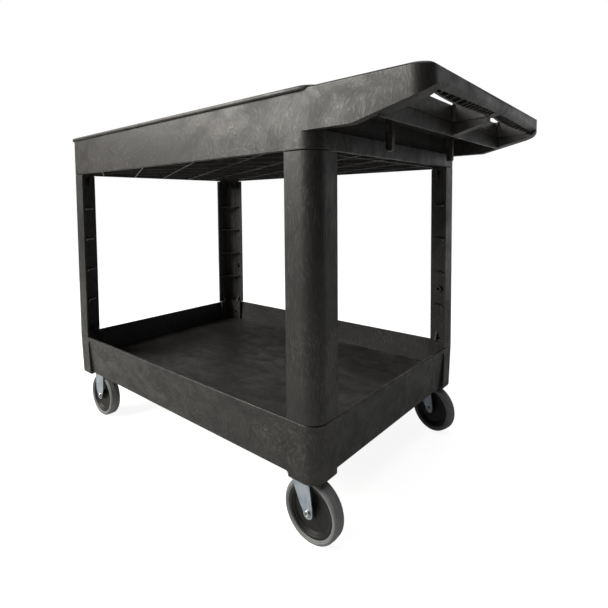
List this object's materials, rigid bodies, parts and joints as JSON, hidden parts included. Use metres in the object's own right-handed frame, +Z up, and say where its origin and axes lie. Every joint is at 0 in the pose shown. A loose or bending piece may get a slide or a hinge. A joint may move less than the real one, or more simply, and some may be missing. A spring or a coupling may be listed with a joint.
{
  "type": "rolling utility cart",
  "caption": "Rolling utility cart with lipped upper and lower trays, corner posts, a moulded push handle with bins and hooks, and swivel and rigid casters.",
  "frame": {"origin": "on the floor under the centre of the whole cart", "axes": "+X along the cart towards the push handle, +Z up, -Y the near long side"},
  "size_m": [1.154, 0.657, 0.846],
  "materials": {
    "shelf_foam": "satin moulded structural foam with flow swirls",
    "post_foam": "satin moulded structural foam",
    "black_screw": "black phosphate",
    "zinc_sheet": "bright zinc plated pressing",
    "zinc_bolt": "bright zinc plated fastener",
    "bearing": "natural nylon",
    "ball_steel": "polished",
    "hub_plastic": "smooth moulded polypropylene",
    "grey_tyre": "matte thermoplastic rubber"
  },
  "bodies": {
    "cart": {"top_shelf": "shelf_foam", "bottom_shelf": "shelf_foam", "post_tail_near": "post_foam", "post_tail_far": "post_foam", "post_handle_near": "post_foam", "post_handle_far": "post_foam", "post_screws_lower": "black_screw", "post_screws_upper": "black_screw", "rigid_near_bracket": "zinc_sheet", "rigid_near_plate_bolts": "zinc_bolt", "rigid_near_axle_bolt": "zinc_bolt", "rigid_near_axle_nut": "zinc_bolt", "rigid_far_bracket": "zinc_sheet", "rigid_far_plate_bolts": "zinc_bolt", "rigid_far_axle_bolt": "zinc_bolt", "rigid_far_axle_nut": "zinc_bolt", "swivel_near_plate": "zinc_sheet", "swivel_near_race_balls": "ball_steel", "swivel_near_kingpin": "zinc_bolt", "swivel_near_plate_bolts": "zinc_bolt", "swivel_far_plate": "zinc_sheet", "swivel_far_race_balls": "ball_steel", "swivel_far_kingpin": "zinc_bolt", "swivel_far_plate_bolts": "zinc_bolt"},
    "rigid_near_wheel": {"rigid_near_wheel_hub": "hub_plastic", "rigid_near_tyre": "grey_tyre", "rigid_near_bushing": "bearing"},
    "rigid_far_wheel": {"rigid_far_wheel_hub": "hub_plastic", "rigid_far_tyre": "grey_tyre", "rigid_far_bushing": "bearing"},
    "swivel_near_wheel": {"swivel_near_wheel_hub": "hub_plastic", "swivel_near_tyre": "grey_tyre", "swivel_near_bushing": "bearing"},
    "swivel_far_wheel": {"swivel_far_wheel_hub": "hub_plastic", "swivel_far_tyre": "grey_tyre", "swivel_far_bushing": "bearing"},
    "swivel_near_yoke": {"swivel_near_fork": "zinc_sheet", "swivel_near_axle_bolt": "zinc_bolt", "swivel_near_axle_nut": "zinc_bolt"},
    "swivel_far_yoke": {"swivel_far_fork": "zinc_sheet", "swivel_far_axle_bolt": "zinc_bolt", "swivel_far_axle_nut": "zinc_bolt"}
  },
  "joints": [
    {"name": "rigid_near_roll", "type": "hinge", "parent": "cart", "child": "rigid_near_wheel", "pos_m": [-0.482, -0.2825, 0.0625], "axis": [0, 1, 0], "continuous": true},
    {"name": "rigid_far_roll", "type": "hinge", "parent": "cart", "child": "rigid_far_wheel", "pos_m": [-0.482, 0.2825, 0.0625], "axis": [0, 1, 0], "continuous": true},
    {"name": "swivel_near_turn", "type": "hinge", "parent": "cart", "child": "swivel_near_yoke", "pos_m": [0.296, -0.2825, 0.14], "axis": [0, 0, 1], "continuous": true},
    {"name": "swivel_near_roll", "type": "hinge", "parent": "swivel_near_yoke", "child": "swivel_near_wheel", "pos_m": [0.33, -0.2825, 0.0625], "axis": [0, 1, 0], "continuous": true},
    {"name": "swivel_far_turn", "type": "hinge", "parent": "cart", "child": "swivel_far_yoke", "pos_m": [0.296, 0.2825, 0.14], "axis": [0, 0, 1], "continuous": true},
    {"name": "swivel_far_roll", "type": "hinge", "parent": "swivel_far_yoke", "child": "swivel_far_wheel", "pos_m": [0.32884, 0.2737, 0.0625], "axis": [0.2588, 0.9659, 0], "continuous": true}
  ]
}
